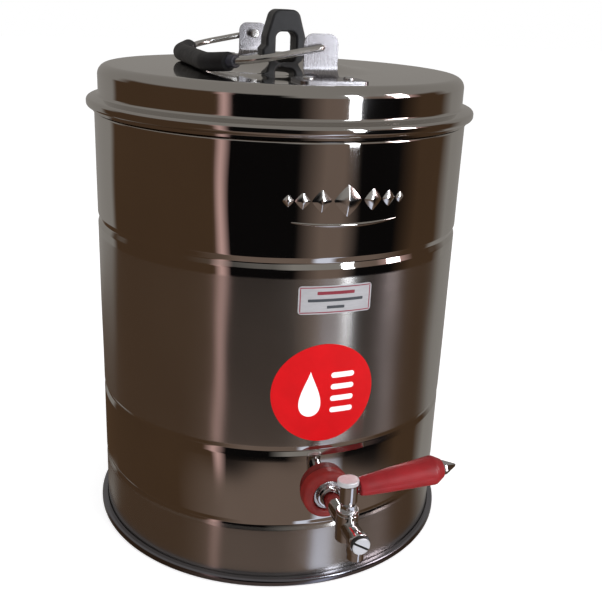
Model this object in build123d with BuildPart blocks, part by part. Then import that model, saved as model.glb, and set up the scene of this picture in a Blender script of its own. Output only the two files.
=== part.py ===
"""Insulated 30-litre beverage container: double-wall stainless body, lift-off lid with bail, lever tap.

Millimetres, +Z up. The origin is the centre of the foot ring's underside, and the tap points along -Y.
"""

from build123d import *
import math
import os

os.makedirs("parts", exist_ok=True)

# ---- Driving dimensions -------------------------------------------------------------------------

# Body
BODY_R = 180.0
SHEET = 1.0
SHOULDER_Z = 423.0
SHOULDER_FILLET = 3.0
NECK_R = 173.5
NECK_TOP_Z = 446.0
SWAGE_Z = (63.6, 142.3, 320.0)
SWAGE_HALF = 5.2
SWAGE_DEPTH = 1.8
SWAGE_FILLET = 3.0
WALL_FOOT_Z = 1.2
NECK_FILLET = 2.0
RIM_R = 187.0
RIM_H = 8.0
RIM_TOP_FILLET = 2.9
RIM_FOOT_FILLET = 2.4
SKIN_GAP = 0.05

# Inner tank, and the foam between it and the outer wall
TANK_R = 158.0
TANK_FLOOR_Z = 33.0
TANK_CORNER = 14.0
TANK_LIP_FILLET = 2.5
FOAM_R = 176.8
FOAM_GAP = 0.2
PAN_Z = 7.0
PAN_FILLET = 2.5

# Lid
LID_WALL_R = 176.0
LID_TOP_Z = 465.0
LID_CORNER = 10.0
LID_BEAD_R = 187.2
LID_BEAD_TOP_Z = 434.5
LID_BEAD_LOW_Z = 427.0
LID_LIP_R = 181.5
LID_LIP_Z = 423.3
DOME_R = 95.0
DOME_Z = 479.5
PLUG_R = 156.0
PLUG_Z = 428.0
PLUG_FILLET = 8.0
LINER_FLANGE_Z = 448.5
LINER_SHEET = 0.8
SEAL_OUT_R = 171.0
SEAL_IN_R = 161.0
SEAL_GAP = 0.3

# Bail, its ears and its grip
PIVOT_Z = 491.0
EAR_Y = 110.0
EAR_SHEET = 2.0
EAR_W = 30.5
EAR_TOP_Z = 502.0
EAR_TOP_FILLET = 8.5
EAR_BEND = 11.0
EAR_FOOT_W = 60.0
EAR_FOOT_Y = 154.0
EAR_FOOT_START_Y = 119.0
RIVET_X = 18.0
RIVET_Y = 134.0
RIVET_R = 2.45
BAIL_R = 3.0
BAIL_TILT = 11.2
BAIL_ARM_Y = 117.0
BAIL_REACH = 90.0
PIVOT_CLEARANCE = 0.08
GRIP_R = 8.2

# Lid knob
KNOB_HALF_W = 19.5
KNOB_TOP_HALF_W = 12.0
KNOB_TOP_FILLET = 8.5
KNOB_SHOULDER_FILLET = 26.0
KNOB_SHOULDER_Z = 493.5
KNOB_FOOT_HALF_W = 23.0
KNOB_TOP_Z = 518.5
KNOB_DEPTH = 22.0
KNOB_GAP_HALF_W = 10.0
KNOB_GAP_TOP_Z = 498.5
KNOB_SCREW_X = 15.5

# Tap, along -Y: distances L are measured from the container's axis
TAP_Z = 100.0
SHANK_R = 9.0
SHANK_END_L = 142.0
SHANK_HOLE_R = 9.6
SLEEVE_R = 12.0
FLANGE_R = 23.8
FLANGE_FACE_L = 192.5
SEAT_L = 188.0
SEAT_R = 14.8
WASHER_R = 14.4
SHOULDER_L = 189.8
SHOULDER_R = 11.5
SHOULDER_T = 3.0
BARREL_R = 8.2
COLLAR_L = 262.0
COLLAR_R = 9.4
BARREL_END_L = 268.0
BORE_R = 4.6
FRONT_THREAD_R = 5.2
PLUG_L = 237.0
PLUG_BORE_R = 7.05
COCK_R = 7.0
COCK_LOW_Z = 88.3
COCK_TOP_Z = 110.0
HOUSING_R = 10.0
HOUSING_LOW_Z = 85.0
HOUSING_TOP_Z = 112.0
STEM_R = 4.5
GLAND_R = 9.8
GLAND_T = 3.2
GLAND_HEX_R = 6.3
GLAND_HEX_T = 5.0
HUB_R = 7.8
HUB_LOW_Z = 123.0
HUB_TOP_Z = 140.5
CAP_TOP_Z = 145.0
OUTLET_L = 259.6
OUTLET_R = 8.2
OUTLET_STEP_Z = 87.0
NOZZLE_R = 7.6
NOZZLE_Z = 81.0
NOZZLE_BORE_R = 5.0

# Lever, from the hub towards +X, rising a little
LEVER_ROOT = (12.5, 136.0)
LEVER_END = (88.5, 143.4)
LEVER_ROD_R = 3.5

TAP_PLANE = Plane(origin=(0, 0, TAP_Z), x_dir=(1, 0, 0), z_dir=(0, -1, 0))


def wall_band(inner_r, outer_r):
    """A tall tube about the container's axis, for trimming a piece to the curved wall."""
    with BuildPart() as band:
        with BuildSketch(Plane.XY):
            Circle(outer_r)
            Circle(inner_r, mode=Mode.SUBTRACT)
        extrude(amount=SHOULDER_Z)
    return band.part


def tap_rod(radius, start, end):
    """A round bar on the tap's axis between two distances from the container's axis."""
    with BuildPart() as bar:
        with BuildSketch(TAP_PLANE.offset(start)):
            Circle(radius)
        extrude(amount=end - start)
    return bar.part


def upright_bar(radius, distance, low, high):
    """A round upright bar on the tap's side, at a distance from the container's axis."""
    with BuildPart() as bar:
        with BuildSketch(Plane.XY.offset(low)):
            with Locations((0, -distance)):
                Circle(radius)
        extrude(amount=high - low)
    return bar.part


# ---- Body ---------------------------------------------------------------------------------------

# The outer wall's outside line, from the foot up: three shallow swages, the shoulder and the neck
wall_points = [(BODY_R, WALL_FOOT_Z)]
wall_radii = []
for swage_z in SWAGE_Z:
    wall_points += [
        (BODY_R, swage_z - SWAGE_HALF),
        (BODY_R - SWAGE_DEPTH, swage_z),
        (BODY_R, swage_z + SWAGE_HALF),
    ]
    wall_radii += [SWAGE_FILLET, SWAGE_FILLET, SWAGE_FILLET]
wall_points += [(BODY_R, SHOULDER_Z), (NECK_R, SHOULDER_Z), (NECK_R, NECK_TOP_Z)]
wall_radii += [SHOULDER_FILLET, NECK_FILLET]

with BuildPart() as outer_shell:
    with BuildSketch(Plane.XZ):
        with BuildLine():
            FilletPolyline(*wall_points, radius=wall_radii)
            offset(amount=SHEET, side=Side.LEFT)
        make_face()
    revolve(axis=Axis.Z)
    add(tap_rod(SHANK_HOLE_R, TANK_R, BODY_R + 5), mode=Mode.SUBTRACT)
outer_shell.part.label = "outer_shell"
export_step(outer_shell.part, "parts/outer_shell.step")

# The rolled foot ring stands on the ground on its flat underside
with BuildPart() as base_rim:
    with BuildSketch(Plane.XY):
        Circle(RIM_R)
        Circle(BODY_R + SKIN_GAP, mode=Mode.SUBTRACT)
    extrude(amount=RIM_H)
    fillet(base_rim.edges().group_by(Axis.Z)[-1].sort_by(SortBy.RADIUS)[-1], radius=RIM_TOP_FILLET)
    fillet(base_rim.edges().group_by(Axis.Z)[0].sort_by(SortBy.RADIUS)[-1], radius=RIM_FOOT_FILLET)
base_rim.part.label = "base_rim"
export_step(base_rim.part, "parts/base_rim.step")

with BuildPart() as base_pan:
    with BuildSketch(Plane.XZ):
        with BuildLine():
            pan_r = BODY_R - SHEET - 2 * SKIN_GAP
            FilletPolyline((0, PAN_Z), (pan_r, PAN_Z), (pan_r, WALL_FOOT_Z), radius=[PAN_FILLET])
            offset(amount=SHEET, side=Side.RIGHT)
        make_face()
    revolve(axis=Axis.Z)
base_pan.part.label = "base_pan"
export_step(base_pan.part, "parts/base_pan.step")

# The deep-drawn tank hangs from its turned-out rim, which lies on the neck
with BuildPart() as inner_tank:
    with BuildSketch(Plane.XZ):
        with BuildLine():
            tank_top = NECK_TOP_Z + SHEET
            FilletPolyline(
                (0, TANK_FLOOR_Z),
                (TANK_R, TANK_FLOOR_Z),
                (TANK_R, tank_top),
                (NECK_R, tank_top),
                radius=[TANK_CORNER, TANK_LIP_FILLET],
            )
            offset(amount=SHEET, side=Side.RIGHT)
        make_face()
    revolve(axis=Axis.Z)
    add(tap_rod(SHANK_HOLE_R, TANK_R - 10, TANK_R + 10), mode=Mode.SUBTRACT)
inner_tank.part.label = "inner_tank"
export_step(inner_tank.part, "parts/inner_tank.step")

with BuildPart() as insulation:
    with BuildSketch(Plane.XZ):
        with BuildLine():
            foam_in_r = TANK_R + SHEET + FOAM_GAP
            foam_floor = TANK_FLOOR_Z - SHEET - FOAM_GAP
            foam_neck_r = NECK_R - SHEET - FOAM_GAP
            foam_top_z = NECK_TOP_Z - 2.0
            FilletPolyline(
                (0, foam_floor),
                (foam_in_r, foam_floor),
                (foam_in_r, foam_top_z),
                radius=[TANK_CORNER + SHEET],
            )
            Polyline(
                (foam_in_r, foam_top_z),
                (foam_neck_r, foam_top_z),
                (foam_neck_r, SHOULDER_Z - SHEET - 1),
                (FOAM_R, SHOULDER_Z - 6),
                (FOAM_R, PAN_Z + FOAM_GAP),
                (0, PAN_Z + FOAM_GAP),
                (0, foam_floor),
            )
        make_face()
    revolve(axis=Axis.Z)
    add(tap_rod(SLEEVE_R + FOAM_GAP, TANK_R - 5, BODY_R), mode=Mode.SUBTRACT)
insulation.part.label = "insulation"
export_step(insulation.part, "parts/insulation.step")

# Stickers on the curved wall, on the tap's side
STICKER_Z = 199.7
STICKER_R = 47.3
STICKER_X = -6.3
LABEL_Z = 288.0
LABEL_W = 66.6
LABEL_H = 25.5
LABEL_CORNER = 3.0
FILM = 0.4
GLUE = 0.02
film_band = wall_band(BODY_R + GLUE, BODY_R + FILM)

with BuildPart() as round_sticker:
    with BuildSketch(Plane(origin=(STICKER_X, 0, STICKER_Z), x_dir=(1, 0, 0), z_dir=(0, -1, 0))):
        Circle(STICKER_R)
    extrude(amount=BODY_R + 5)
    add(film_band, mode=Mode.INTERSECT)
round_sticker.part.label = "round_sticker"
export_step(round_sticker.part, "parts/round_sticker.step")

with BuildPart() as info_label:
    with BuildSketch(Plane(origin=(0, 0, LABEL_Z), x_dir=(1, 0, 0), z_dir=(0, -1, 0))):
        RectangleRounded(LABEL_W, LABEL_H, LABEL_CORNER)
    extrude(amount=BODY_R + 5)
    add(film_band, mode=Mode.INTERSECT)
info_label.part.label = "info_label"
export_step(info_label.part, "parts/info_label.step")

# ---- Tap ----------------------------------------------------------------------------------------

with BuildPart() as tap_sleeve:
    add(tap_rod(SLEEVE_R, TANK_R - 5, BODY_R + 5))
    add(tap_rod(SHANK_HOLE_R, TANK_R - 5, BODY_R + 5), mode=Mode.SUBTRACT)
    add(wall_band(TANK_R + SHEET + SKIN_GAP, BODY_R - SHEET - SKIN_GAP), mode=Mode.INTERSECT)
tap_sleeve.part.label = "tap_sleeve"
export_step(tap_sleeve.part, "parts/tap_sleeve.step")

FLANGE_OUT_FILLET = 5.5
FLANGE_IN_FILLET = 2.5

# The red washer follows the wall at its back and is domed at its front, with a recess for the steel one
with BuildPart() as tap_flange:
    with BuildSketch(Plane.YZ):
        with BuildLine():
            Polyline(
                (-BODY_R + 4, TAP_Z + SHANK_HOLE_R),
                (-BODY_R + 4, TAP_Z + FLANGE_R),
                (-FLANGE_FACE_L, TAP_Z + FLANGE_R),
                (-FLANGE_FACE_L, TAP_Z + SEAT_R),
                (-SEAT_L, TAP_Z + SEAT_R),
                (-SEAT_L, TAP_Z + SHANK_HOLE_R),
                close=True,
            )
        flange_face = make_face()
        face_corners = flange_face.vertices().group_by(Axis.X)[0]
        fillet(face_corners.sort_by(Axis.Y)[-1], radius=FLANGE_OUT_FILLET)
        fillet(flange_face.vertices().group_by(Axis.X)[0].sort_by(Axis.Y)[0], radius=FLANGE_IN_FILLET)
    revolve(axis=Axis(origin=(0, 0, TAP_Z), direction=(0, 1, 0)))
    add(wall_band(0.1, BODY_R + SKIN_GAP), mode=Mode.SUBTRACT)
tap_flange.part.label = "tap_flange"
export_step(tap_flange.part, "parts/tap_flange.step")

with BuildPart() as tap_washer:
    add(tap_rod(WASHER_R, SEAT_L, SHOULDER_L))
    add(tap_rod(SHANK_R + 0.3, SEAT_L, SHOULDER_L), mode=Mode.SUBTRACT)
    front_edges = tap_washer.edges().group_by(Axis.Y)[0]
    fillet(front_edges.sort_by(SortBy.RADIUS)[-1], radius=0.8)
tap_washer.part.label = "tap_washer"
export_step(tap_washer.part, "parts/tap_washer.step")

with BuildPart() as tap_body:
    add(tap_rod(SHANK_R, SHANK_END_L, SHOULDER_L))
    add(tap_rod(SHOULDER_R, SHOULDER_L, SHOULDER_L + SHOULDER_T))
    add(tap_rod(BARREL_R, SHOULDER_L, COLLAR_L))
    add(tap_rod(COLLAR_R, COLLAR_L, BARREL_END_L))
    add(upright_bar(HOUSING_R, PLUG_L, HOUSING_LOW_Z, HOUSING_TOP_Z))
    add(upright_bar(OUTLET_R, OUTLET_L, OUTLET_STEP_Z, TAP_Z))
    add(upright_bar(NOZZLE_R, OUTLET_L, NOZZLE_Z, TAP_Z))
    # Waterway, front thread, cock bore and outlet
    add(tap_rod(BORE_R, SHANK_END_L, BARREL_END_L), mode=Mode.SUBTRACT)
    add(tap_rod(FRONT_THREAD_R, COLLAR_L, BARREL_END_L), mode=Mode.SUBTRACT)
    add(upright_bar(PLUG_BORE_R, PLUG_L, COCK_LOW_Z - 0.3, HOUSING_TOP_Z), mode=Mode.SUBTRACT)
    add(upright_bar(NOZZLE_BORE_R, OUTLET_L, NOZZLE_Z, TAP_Z), mode=Mode.SUBTRACT)
tap_body.part.label = "tap_body"
export_step(tap_body.part, "parts/tap_body.step")

TANK_WASHER_R = 15.0
NUT_FLAT_R = 13.5
NUT_T = 7.0
NUT_L = 145.0
with BuildPart() as tank_washer:
    add(tap_rod(TANK_WASHER_R, NUT_L + NUT_T, TANK_R + 5))
    add(tap_rod(SHANK_R + 0.1, NUT_L + NUT_T, TANK_R + 5), mode=Mode.SUBTRACT)
    add(wall_band(0.1, TANK_R - 2 * SKIN_GAP), mode=Mode.INTERSECT)
tank_washer.part.label = "tank_washer"
export_step(tank_washer.part, "parts/tank_washer.step")

with BuildPart() as lock_nut:
    with BuildSketch(TAP_PLANE.offset(NUT_L)):
        RegularPolygon(radius=NUT_FLAT_R, side_count=6, major_radius=False)
        Circle(SHANK_R + SKIN_GAP, mode=Mode.SUBTRACT)
    extrude(amount=NUT_T)
lock_nut.part.label = "lock_nut"
export_step(lock_nut.part, "parts/lock_nut.step")

SCREW_R = 8.3
SCREW_T = 4.2
SCREW_SLOT_W = 2.0
SCREW_SLOT_DEPTH = 1.8
SCREW_SLOT_TURN = -32.0
with BuildPart() as front_screw:
    add(tap_rod(SCREW_R, BARREL_END_L, BARREL_END_L + SCREW_T))
    fillet(front_screw.edges().group_by(Axis.Y)[0], radius=1.6)
    add(tap_rod(FRONT_THREAD_R - SKIN_GAP, COLLAR_L + 0.5, BARREL_END_L))
    with BuildSketch(TAP_PLANE.offset(BARREL_END_L + SCREW_T - SCREW_SLOT_DEPTH)):
        Rectangle(2 * SCREW_R + 2, SCREW_SLOT_W, rotation=SCREW_SLOT_TURN)
    extrude(amount=SCREW_SLOT_DEPTH + 1, mode=Mode.SUBTRACT)
front_screw.part.label = "front_screw"
export_step(front_screw.part, "parts/front_screw.step")

with BuildPart() as plug_seal:
    add(upright_bar(PLUG_BORE_R - 0.02, PLUG_L, COCK_TOP_Z + 0.3, HOUSING_TOP_Z))
    add(upright_bar(STEM_R + SKIN_GAP, PLUG_L, COCK_TOP_Z, HOUSING_TOP_Z), mode=Mode.SUBTRACT)
plug_seal.part.label = "plug_seal"
export_step(plug_seal.part, "parts/plug_seal.step")

gland_hex_z = HOUSING_TOP_Z + GLAND_T
gland_top_z = gland_hex_z + GLAND_HEX_T
with BuildPart() as gland_nut:
    add(upright_bar(GLAND_R, PLUG_L, HOUSING_TOP_Z, gland_hex_z))
    fillet(gland_nut.edges().filter_by(GeomType.CIRCLE), radius=0.8)
    with BuildSketch(Plane.XY.offset(gland_hex_z)):
        with Locations((0, -PLUG_L)):
            RegularPolygon(radius=GLAND_HEX_R, side_count=6, major_radius=False)
    extrude(amount=GLAND_HEX_T)
    add(upright_bar(STEM_R + SKIN_GAP, PLUG_L, HOUSING_TOP_Z, gland_top_z), mode=Mode.SUBTRACT)
gland_nut.part.label = "gland_nut"
export_step(gland_nut.part, "parts/gland_nut.step")

# Lever: its axis rises from the hub's side towards +X
lever_dx = LEVER_END[0] - LEVER_ROOT[0]
lever_dz = LEVER_END[1] - LEVER_ROOT[1]
lever_length = math.hypot(lever_dx, lever_dz)
lever_dir = (lever_dx / lever_length, 0, lever_dz / lever_length)
LEVER_PLANE = Plane(
    origin=(LEVER_ROOT[0], -PLUG_L, LEVER_ROOT[1]),
    x_dir=(0, 1, 0),
    z_dir=lever_dir,
)
ROD_SOCKET = 10.0
CAP_LENGTH = 19.5
CAP_WIDTH = 16.4
CAP_SHIFT = -1.2


def lever_rod_solid(start, end):
    """A round bar on the lever's axis; the sleeve's root is at zero."""
    with BuildPart() as bar:
        with BuildSketch(LEVER_PLANE.offset(start)):
            Circle(LEVER_ROD_R)
        extrude(amount=end - start)
    return bar.part


with BuildPart() as tap_plug:
    add(upright_bar(COCK_R, PLUG_L, COCK_LOW_Z, COCK_TOP_Z))
    add(upright_bar(STEM_R, PLUG_L, COCK_TOP_Z, HUB_LOW_Z))
    add(upright_bar(HUB_R, PLUG_L, HUB_LOW_Z, HUB_TOP_Z))
    with BuildSketch(Plane.XY.offset(HUB_TOP_Z)):
        with Locations((CAP_SHIFT, -PLUG_L)):
            SlotOverall(CAP_LENGTH, CAP_WIDTH)
    extrude(amount=CAP_TOP_Z - HUB_TOP_Z)
    fillet(tap_plug.faces().sort_by(Axis.Z)[-1].edges(), radius=1.0)
    # The waterway lies along the lever, so the tap is shut while the lever is square to the barrel
    with BuildSketch(Plane(origin=(0, -PLUG_L, TAP_Z), x_dir=(0, 1, 0), z_dir=(1, 0, 0))):
        Circle(BORE_R - 0.2)
    extrude(amount=COCK_R + 1, both=True, mode=Mode.SUBTRACT)
    add(lever_rod_solid(-ROD_SOCKET, 0), mode=Mode.SUBTRACT)
tap_plug.part.label = "tap_plug"
export_step(tap_plug.part, "parts/tap_plug.step")

with BuildPart() as lever_rod:
    add(lever_rod_solid(-ROD_SOCKET, lever_length - 3))
lever_rod.part.label = "lever_rod"
export_step(lever_rod.part, "parts/lever_rod.step")

# The sleeve swells towards its end; its profile is drawn in a plane that holds the lever's axis
GRIP_PLANE = Plane(
    origin=(LEVER_ROOT[0], -PLUG_L, LEVER_ROOT[1]),
    x_dir=lever_dir,
    z_dir=(0, -1, 0),
)
SLEEVE_END = 75.0
SLEEVE_SWELL = 63.5
TIP_END = 89.0
with BuildPart() as lever_grip:
    with BuildSketch(GRIP_PLANE):
        with BuildLine():
            Line((0, LEVER_ROD_R), (0, 7.6))
            Line((0, 7.6), (1.0, 8.6))
            swell = Spline(
                (1.0, 8.6),
                (SLEEVE_SWELL / 2, 11.1),
                (SLEEVE_SWELL, 13.2),
                tangents=[(1, 0.05), (1, 0.02)],
            )
            ThreePointArc(swell @ 1, (SLEEVE_END - 3.5, 11.8), (SLEEVE_END, 8.0))
            Line((SLEEVE_END, 8.0), (SLEEVE_END, 0))
            Line((SLEEVE_END, 0), (lever_length - 3, 0))
            Line((lever_length - 3, 0), (lever_length - 3, LEVER_ROD_R))
            Line((lever_length - 3, LEVER_ROD_R), (0, LEVER_ROD_R))
        make_face()
    revolve(axis=Axis(origin=GRIP_PLANE.origin, direction=lever_dir))
lever_grip.part.label = "lever_grip"
export_step(lever_grip.part, "parts/lever_grip.step")

with BuildPart() as lever_tip:
    with BuildSketch(GRIP_PLANE):
        with BuildLine():
            Polyline(
                (SLEEVE_END, 0),
                (SLEEVE_END, 6.6),
                (SLEEVE_END + 3, 6.6),
                (TIP_END - 1, 1.4),
                (TIP_END, 0),
                close=True,
            )
        make_face()
    revolve(axis=Axis(origin=GRIP_PLANE.origin, direction=lever_dir))
lever_tip.part.label = "lever_tip"
export_step(lever_tip.part, "parts/lever_tip.step")

# ---- Lid ----------------------------------------------------------------------------------------

# The dome is two equal arcs, one convex and one hollow, so it runs out flat on the lid's top
dome_half = DOME_R / 2
dome_rise_half = (DOME_Z - LID_TOP_Z) / 2
dome_arc_r = (dome_half**2 + dome_rise_half**2) / (2 * dome_rise_half)
dome_angle = math.degrees(math.asin(dome_half / dome_arc_r))

with BuildPart() as lid_shell:
    with BuildSketch(Plane.XZ):
        with BuildLine():
            crown = JernArc(start=(0, DOME_Z), tangent=(1, 0), radius=dome_arc_r, arc_size=-dome_angle)
            JernArc(start=crown @ 1, tangent=crown % 1, radius=dome_arc_r, arc_size=dome_angle)
            FilletPolyline(
                (DOME_R, LID_TOP_Z),
                (LID_WALL_R, LID_TOP_Z),
                (LID_WALL_R, LID_BEAD_TOP_Z + 3),
                (LID_BEAD_R, LID_BEAD_TOP_Z),
                (LID_BEAD_R, LID_BEAD_LOW_Z),
                (LID_LIP_R, LID_BEAD_LOW_Z - 1),
                (LID_LIP_R, LID_LIP_Z),
                radius=[LID_CORNER, 3.0, 3.4, 3.4, 1.0],
            )
            offset(amount=SHEET, side=Side.RIGHT)
        make_face()
    revolve(axis=Axis.Z)
    # Holes for the rivets and for the knob's screws
    with BuildSketch(Plane.XY.offset(LID_TOP_Z - 5)):
        with GridLocations(2 * RIVET_X, 2 * RIVET_Y, 2, 2):
            Circle(RIVET_R + 0.05)
        with GridLocations(2 * KNOB_SCREW_X, 0, 2, 1):
            Circle(2.6)
    extrude(amount=30, mode=Mode.SUBTRACT)
lid_shell.part.label = "lid_shell"
export_step(lid_shell.part, "parts/lid_shell.step")

with BuildPart() as lid_liner:
    with BuildSketch(Plane.XZ):
        with BuildLine():
            FilletPolyline(
                (0, PLUG_Z),
                (PLUG_R, PLUG_Z),
                (PLUG_R, LINER_FLANGE_Z),
                (LID_WALL_R - SHEET - 0.1, LINER_FLANGE_Z),
                radius=[8.0, 1.5],
            )
            offset(amount=LINER_SHEET, side=Side.LEFT)
        make_face()
    revolve(axis=Axis.Z)
lid_liner.part.label = "lid_liner"
export_step(lid_liner.part, "parts/lid_liner.step")

with BuildPart() as lid_insulation:
    with BuildSketch(Plane.XZ):
        with BuildLine():
            lining_r = PLUG_R - LINER_SHEET - FOAM_GAP
            lining_z = PLUG_Z + LINER_SHEET + FOAM_GAP
            flange_z = LINER_FLANGE_Z + LINER_SHEET + FOAM_GAP
            lid_foam_top = LID_TOP_Z - 4.0
            FilletPolyline(
                (0, lining_z),
                (lining_r, lining_z),
                (lining_r, flange_z),
                (LID_WALL_R - SHEET - 1.5, flange_z),
                (LID_WALL_R - SHEET - 1.5, lid_foam_top),
                (0, lid_foam_top),
                radius=[8.0, 2.5, 0, 8.0],
            )
            Line((0, lid_foam_top), (0, lining_z))
        make_face()
    revolve(axis=Axis.Z)
lid_insulation.part.label = "lid_insulation"
export_step(lid_insulation.part, "parts/lid_insulation.step")

with BuildPart() as lid_seal:
    with BuildSketch(Plane.XY.offset(NECK_TOP_Z + SHEET + 0.3)):
        Circle(171.0)
        Circle(161.0, mode=Mode.SUBTRACT)
    extrude(amount=LINER_FLANGE_Z - NECK_TOP_Z - SHEET - 0.3)
lid_seal.part.label = "lid_seal"
export_step(lid_seal.part, "parts/lid_seal.step")

# Two bent ears, front and back, carry the bail outside them
for side, ear_name in ((-1, "front_bracket"), (1, "rear_bracket")):
    with BuildPart() as ear:
        with BuildSketch(Plane.YZ):
            with BuildLine():
                FilletPolyline(
                    (side * EAR_Y, EAR_TOP_Z),
                    (side * EAR_Y, LID_TOP_Z),
                    (side * EAR_FOOT_Y, LID_TOP_Z),
                    radius=[EAR_BEND],
                )
                offset(amount=EAR_SHEET, side=Side.LEFT if side > 0 else Side.RIGHT)
            make_face()
        extrude(amount=EAR_FOOT_W / 2, both=True)
        # Seen from above: a narrow ear with a wide foot
        with BuildSketch(Plane.XY.offset(LID_TOP_Z - 1)) as foot_plan:
            with Locations((0, side * (EAR_Y + EAR_FOOT_START_Y) / 2)):
                Rectangle(EAR_W, EAR_FOOT_START_Y - EAR_Y + 4)
            with Locations((0, side * (EAR_FOOT_START_Y + EAR_FOOT_Y) / 2)):
                RectangleRounded(EAR_FOOT_W, EAR_FOOT_Y - EAR_FOOT_START_Y, 6)
        extrude(amount=60, mode=Mode.INTERSECT)
        # Seen from the front: rounded top corners
        with BuildSketch(Plane.XZ):
            with Locations((0, LID_TOP_Z - 1)):
                Rectangle(EAR_FOOT_W + 2, 12, align=(Align.CENTER, Align.MIN))
            with Locations((0, (LID_TOP_Z + EAR_TOP_Z) / 2)):
                RectangleRounded(EAR_W, EAR_TOP_Z - LID_TOP_Z, EAR_TOP_FILLET)
        extrude(amount=EAR_FOOT_Y + 5, both=True, mode=Mode.INTERSECT)
        with BuildSketch(Plane.XZ):
            with Locations((0, PIVOT_Z)):
                Circle(BAIL_R + PIVOT_CLEARANCE)
        extrude(amount=EAR_FOOT_Y, both=True, mode=Mode.SUBTRACT)
        with BuildSketch(Plane.XY.offset(LID_TOP_Z - 1)):
            with Locations((-RIVET_X, side * RIVET_Y), (RIVET_X, side * RIVET_Y)):
                Circle(RIVET_R + 0.05)
        extrude(amount=10, mode=Mode.SUBTRACT)
    ear.part.label = ear_name
    export_step(ear.part, f"parts/{ear_name}.step")

# Four dome rivets: head on the ear's foot, tail inside the lid
RIVET_HEAD_R = 4.8
RIVET_HEAD_H = 2.2
RIVET_TAIL_R = 4.0
RIVET_TAIL_H = 1.4
with BuildPart() as bracket_rivets:
    ear_top_z = LID_TOP_Z + EAR_SHEET
    lid_under_z = LID_TOP_Z - SHEET
    low = (Align.CENTER, Align.CENTER, Align.MIN)
    with Locations((0, 0, ear_top_z)):
        with GridLocations(2 * RIVET_X, 2 * RIVET_Y, 2, 2):
            Cylinder(RIVET_HEAD_R, RIVET_HEAD_H, align=low)
    fillet(bracket_rivets.edges().group_by(Axis.Z)[-1], radius=1.9)
    with Locations((0, 0, lid_under_z)):
        with GridLocations(2 * RIVET_X, 2 * RIVET_Y, 2, 2):
            Cylinder(RIVET_R, ear_top_z - lid_under_z, align=low)
    with Locations((0, 0, lid_under_z - RIVET_TAIL_H)):
        with GridLocations(2 * RIVET_X, 2 * RIVET_Y, 2, 2):
            Cylinder(RIVET_TAIL_R, RIVET_TAIL_H, align=low)
bracket_rivets.part.label = "bracket_rivets"
export_step(bracket_rivets.part, "parts/bracket_rivets.step")

# Moulded arch knob: two flared feet that follow the dome, and a gap for a finger
with BuildPart() as lid_knob:
    with BuildSketch(Plane.XZ):
        with BuildLine():
            Polyline(
                (-KNOB_FOOT_HALF_W, LID_TOP_Z + 5),
                (-KNOB_FOOT_HALF_W, DOME_Z + 2.5),
                (-KNOB_HALF_W, DOME_Z + 6.5),
                (-KNOB_HALF_W, KNOB_SHOULDER_Z),
                (-KNOB_TOP_HALF_W, KNOB_TOP_Z),
                (KNOB_TOP_HALF_W, KNOB_TOP_Z),
                (KNOB_HALF_W, KNOB_SHOULDER_Z),
                (KNOB_HALF_W, DOME_Z + 6.5),
                (KNOB_FOOT_HALF_W, DOME_Z + 2.5),
                (KNOB_FOOT_HALF_W, LID_TOP_Z + 5),
                close=True,
            )
        knob_face = make_face()
        fillet(knob_face.vertices().group_by(Axis.Y)[-1], radius=KNOB_TOP_FILLET)
        knob_levels = knob_face.vertices().group_by(Axis.Z)
        shoulder_level = min(knob_levels, key=lambda level: abs(level[0].Z - KNOB_SHOULDER_Z))
        fillet(shoulder_level, radius=KNOB_SHOULDER_FILLET)
        with BuildLine():
            FilletPolyline(
                (-KNOB_GAP_HALF_W, LID_TOP_Z),
                (-KNOB_GAP_HALF_W, KNOB_GAP_TOP_Z),
                (KNOB_GAP_HALF_W, KNOB_GAP_TOP_Z),
                (KNOB_GAP_HALF_W, LID_TOP_Z),
                radius=[6, 6],
            )
            Line((KNOB_GAP_HALF_W, LID_TOP_Z), (-KNOB_GAP_HALF_W, LID_TOP_Z))
        make_face(mode=Mode.SUBTRACT)
    extrude(amount=KNOB_DEPTH / 2, both=True)
    fillet(lid_knob.faces().filter_by(Axis.Y).edges(), radius=2.2)
    with Locations((0, 0, DOME_Z - dome_arc_r)):
        Sphere(dome_arc_r + 0.05, mode=Mode.SUBTRACT)
    with BuildSketch(Plane.XY.offset(LID_TOP_Z)):
        with GridLocations(2 * KNOB_SCREW_X, 0, 2, 1):
            Circle(2.45)
    extrude(amount=28, mode=Mode.SUBTRACT)
lid_knob.part.label = "lid_knob"
export_step(lid_knob.part, "parts/lid_knob.step")

with BuildPart() as knob_screws:
    screw_seat_z = DOME_Z - SHEET - 1.4
    with GridLocations(2 * KNOB_SCREW_X, 0, 2, 1):
        with Locations((0, 0, screw_seat_z)):
            Cylinder(2.4, 14, align=(Align.CENTER, Align.CENTER, Align.MIN))
            Cylinder(4.4, 2.6, align=(Align.CENTER, Align.CENTER, Align.MAX))
knob_screws.part.label = "knob_screws"
export_step(knob_screws.part, "parts/knob_screws.step")

# ---- Bail ---------------------------------------------------------------------------------------

# The bail's own plane: local x runs from the pivot to the grip, local y along the pivot's axis
tilt = math.radians(BAIL_TILT)
BAIL_PLANE = Plane(
    origin=(0, 0, PIVOT_Z),
    x_dir=(-math.cos(tilt), 0, -math.sin(tilt)),
    z_dir=(math.sin(tilt), 0, -math.cos(tilt)),
)
ARM_CORNER = (62.0, BAIL_ARM_Y - 3.0)
GRIP_CORNER = (BAIL_REACH, 62.0)
ARM_FILLET = 34.0
GRIP_FILLET = 40.0
TAIL_Y = 104.0
slope_x = GRIP_CORNER[0] - ARM_CORNER[0]
slope_y = GRIP_CORNER[1] - ARM_CORNER[1]
slope_length = math.hypot(slope_x, slope_y)


def on_slope(distance):
    """A point on the bail's slanting stretch, at a distance from the arm's corner."""
    share = distance / slope_length
    return (ARM_CORNER[0] + share * slope_x, ARM_CORNER[1] + share * slope_y)


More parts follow.
